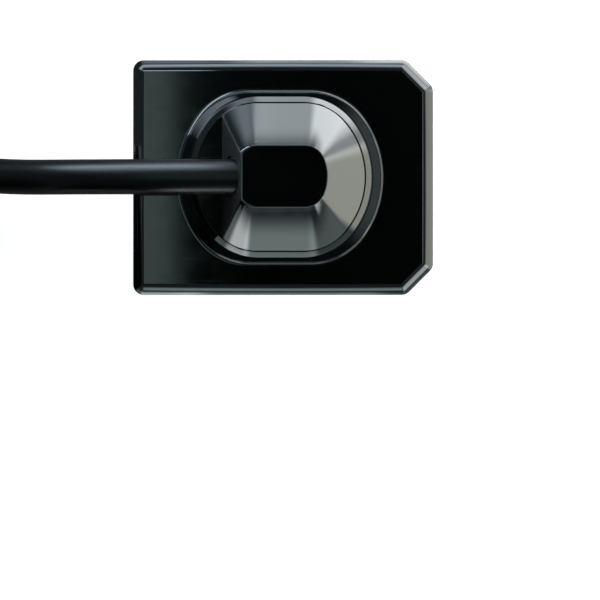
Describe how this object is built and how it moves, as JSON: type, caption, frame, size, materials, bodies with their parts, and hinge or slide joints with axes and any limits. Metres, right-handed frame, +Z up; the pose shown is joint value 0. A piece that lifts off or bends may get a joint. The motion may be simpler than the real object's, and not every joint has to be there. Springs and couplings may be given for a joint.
{
  "type": "intraoral x-ray sensor",
  "caption": "Flat glossy black intraoral imaging sensor with a raised cable boss on its back, a coiled cable and a USB plug.",
  "frame": {"origin": "centre of the sensor body's underside, the X-ray side it lies on", "axes": "+Z up through the cable boss, +X towards the chamfered nose, the cable leaves towards -X"},
  "size_m": [0.1672, 0.0609, 0.0268],
  "materials": {
    "housing_black": "high-gloss black moulding",
    "rubber_black": "smooth black elastomer",
    "seal_grey": "cured sealant",
    "cable_jacket": "smooth black polyurethane jacket",
    "overmould_black": "fine-grained black overmould",
    "steel": "bright stamped steel",
    "tinned_braid": "tinned copper braid",
    "wire_insulation": "coloured wire insulation",
    "board_green": "green solder mask",
    "chip_black": "moulded epoxy package",
    "capacitor_tan": "fired ceramic chips",
    "connector_cream": "cream nylon",
    "ceramic_white": "fired alumina",
    "lead_foil": "dull lead foil",
    "silicon": "polished silicon",
    "gold": "gold plating",
    "fibre_glass": "fused fibre-optic glass",
    "scintillator_white": "white columnar caesium iodide",
    "carbon": "amorphous carbon plate",
    "foam_grey": "thin closed-cell foam",
    "frame_cream": "cream engineering plastic",
    "usb_insulator": "white insulator",
    "strap_black": "woven hook-and-loop tape"
  },
  "bodies": {
    "root": {"front_shell": "housing_black", "back_cover": "housing_black", "boss_cap": "housing_black", "seam_seal": "seal_grey", "cap_seal": "rubber_black", "cable_grommet": "rubber_black", "strain_block": "overmould_black", "crimp_ferrule": "steel", "cable_braid": "tinned_braid", "signal_wires": "wire_insulation", "wire_plug": "connector_cream", "board_socket": "connector_cream", "circuit_board": "board_green", "readout_chip": "chip_black", "controller_chip": "chip_black", "regulator_chip": "chip_black", "crystal_can": "steel", "capacitors": "capacitor_tan", "backscatter_shield": "lead_foil", "carrier_plate": "ceramic_white", "cmos_die": "silicon", "bond_wires": "gold", "fibre_optic_plate": "fibre_glass", "scintillator": "scintillator_white", "scintillator_backing": "carbon", "shock_pad": "foam_grey", "spacer_frame": "frame_cream", "cable_run": "cable_jacket", "cable_coil": "cable_jacket", "cable_tail": "cable_jacket", "cable_tie": "strap_black", "plug_boot": "overmould_black", "plug_grip": "overmould_black", "plug_shell": "steel", "plug_tongue": "usb_insulator", "plug_contacts": "gold"}
  },
  "joints": []
}
